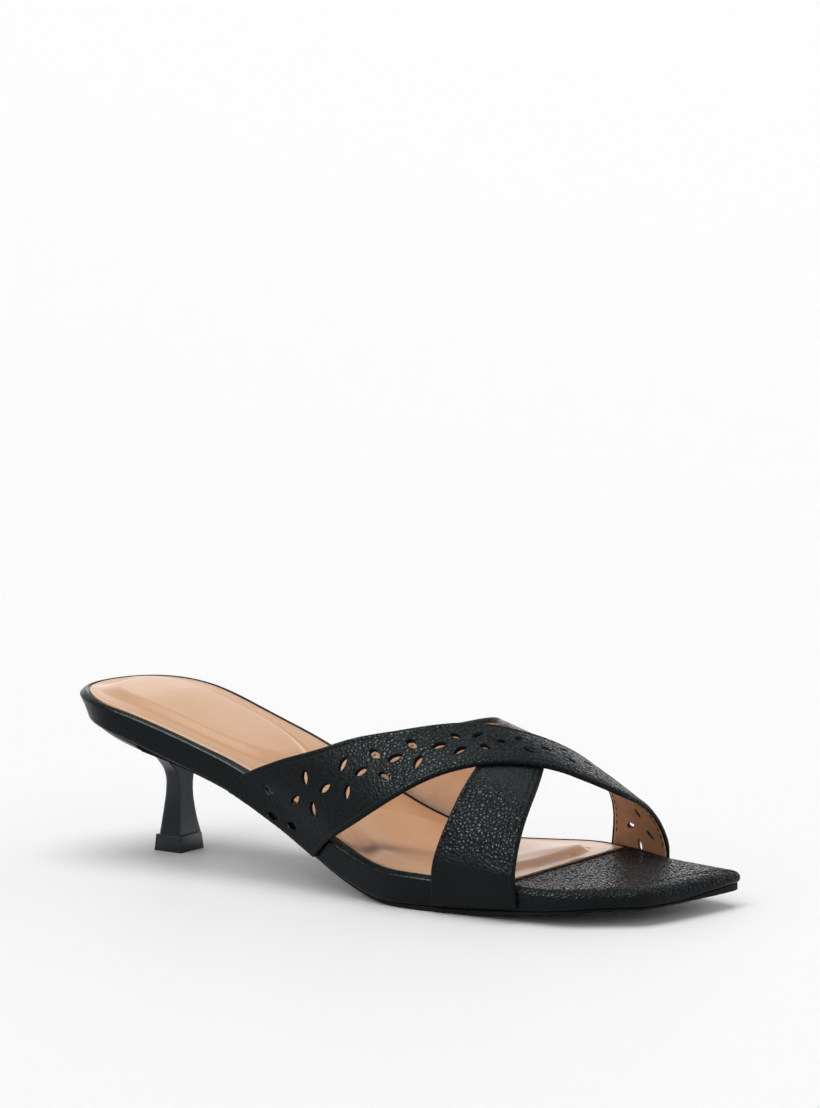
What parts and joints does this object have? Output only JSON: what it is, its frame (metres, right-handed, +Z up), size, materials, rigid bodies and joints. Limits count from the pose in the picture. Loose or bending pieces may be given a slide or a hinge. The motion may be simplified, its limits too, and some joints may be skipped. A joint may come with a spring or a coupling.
{
  "type": "kitten-heel slide sandal",
  "caption": "Square-toed slide sandal with a padded insole, a low waisted heel and crossed leather straps, the upper one punched with leaf-shaped holes.",
  "frame": {"origin": "middle of the shoe's footprint on the floor", "axes": "+X towards the toe, +Y towards the inner side of the right foot, +Z up"},
  "size_m": [0.2402, 0.0822, 0.056],
  "materials": {
    "outsole": "matte black, fine tread",
    "wrap": "black pebbled leather, soft sheen",
    "sock": "smooth tan lining leather, satin",
    "heel": "black lacquer, glossy",
    "top_piece": "black, satin",
    "straps": "black pebbled leather with a tan lining"
  },
  "bodies": {
    "root": {"outsole": "outsole", "footbed": "wrap", "insole": "sock", "heel": "heel", "heel_tip": "top_piece", "upper": "straps"}
  },
  "joints": []
}
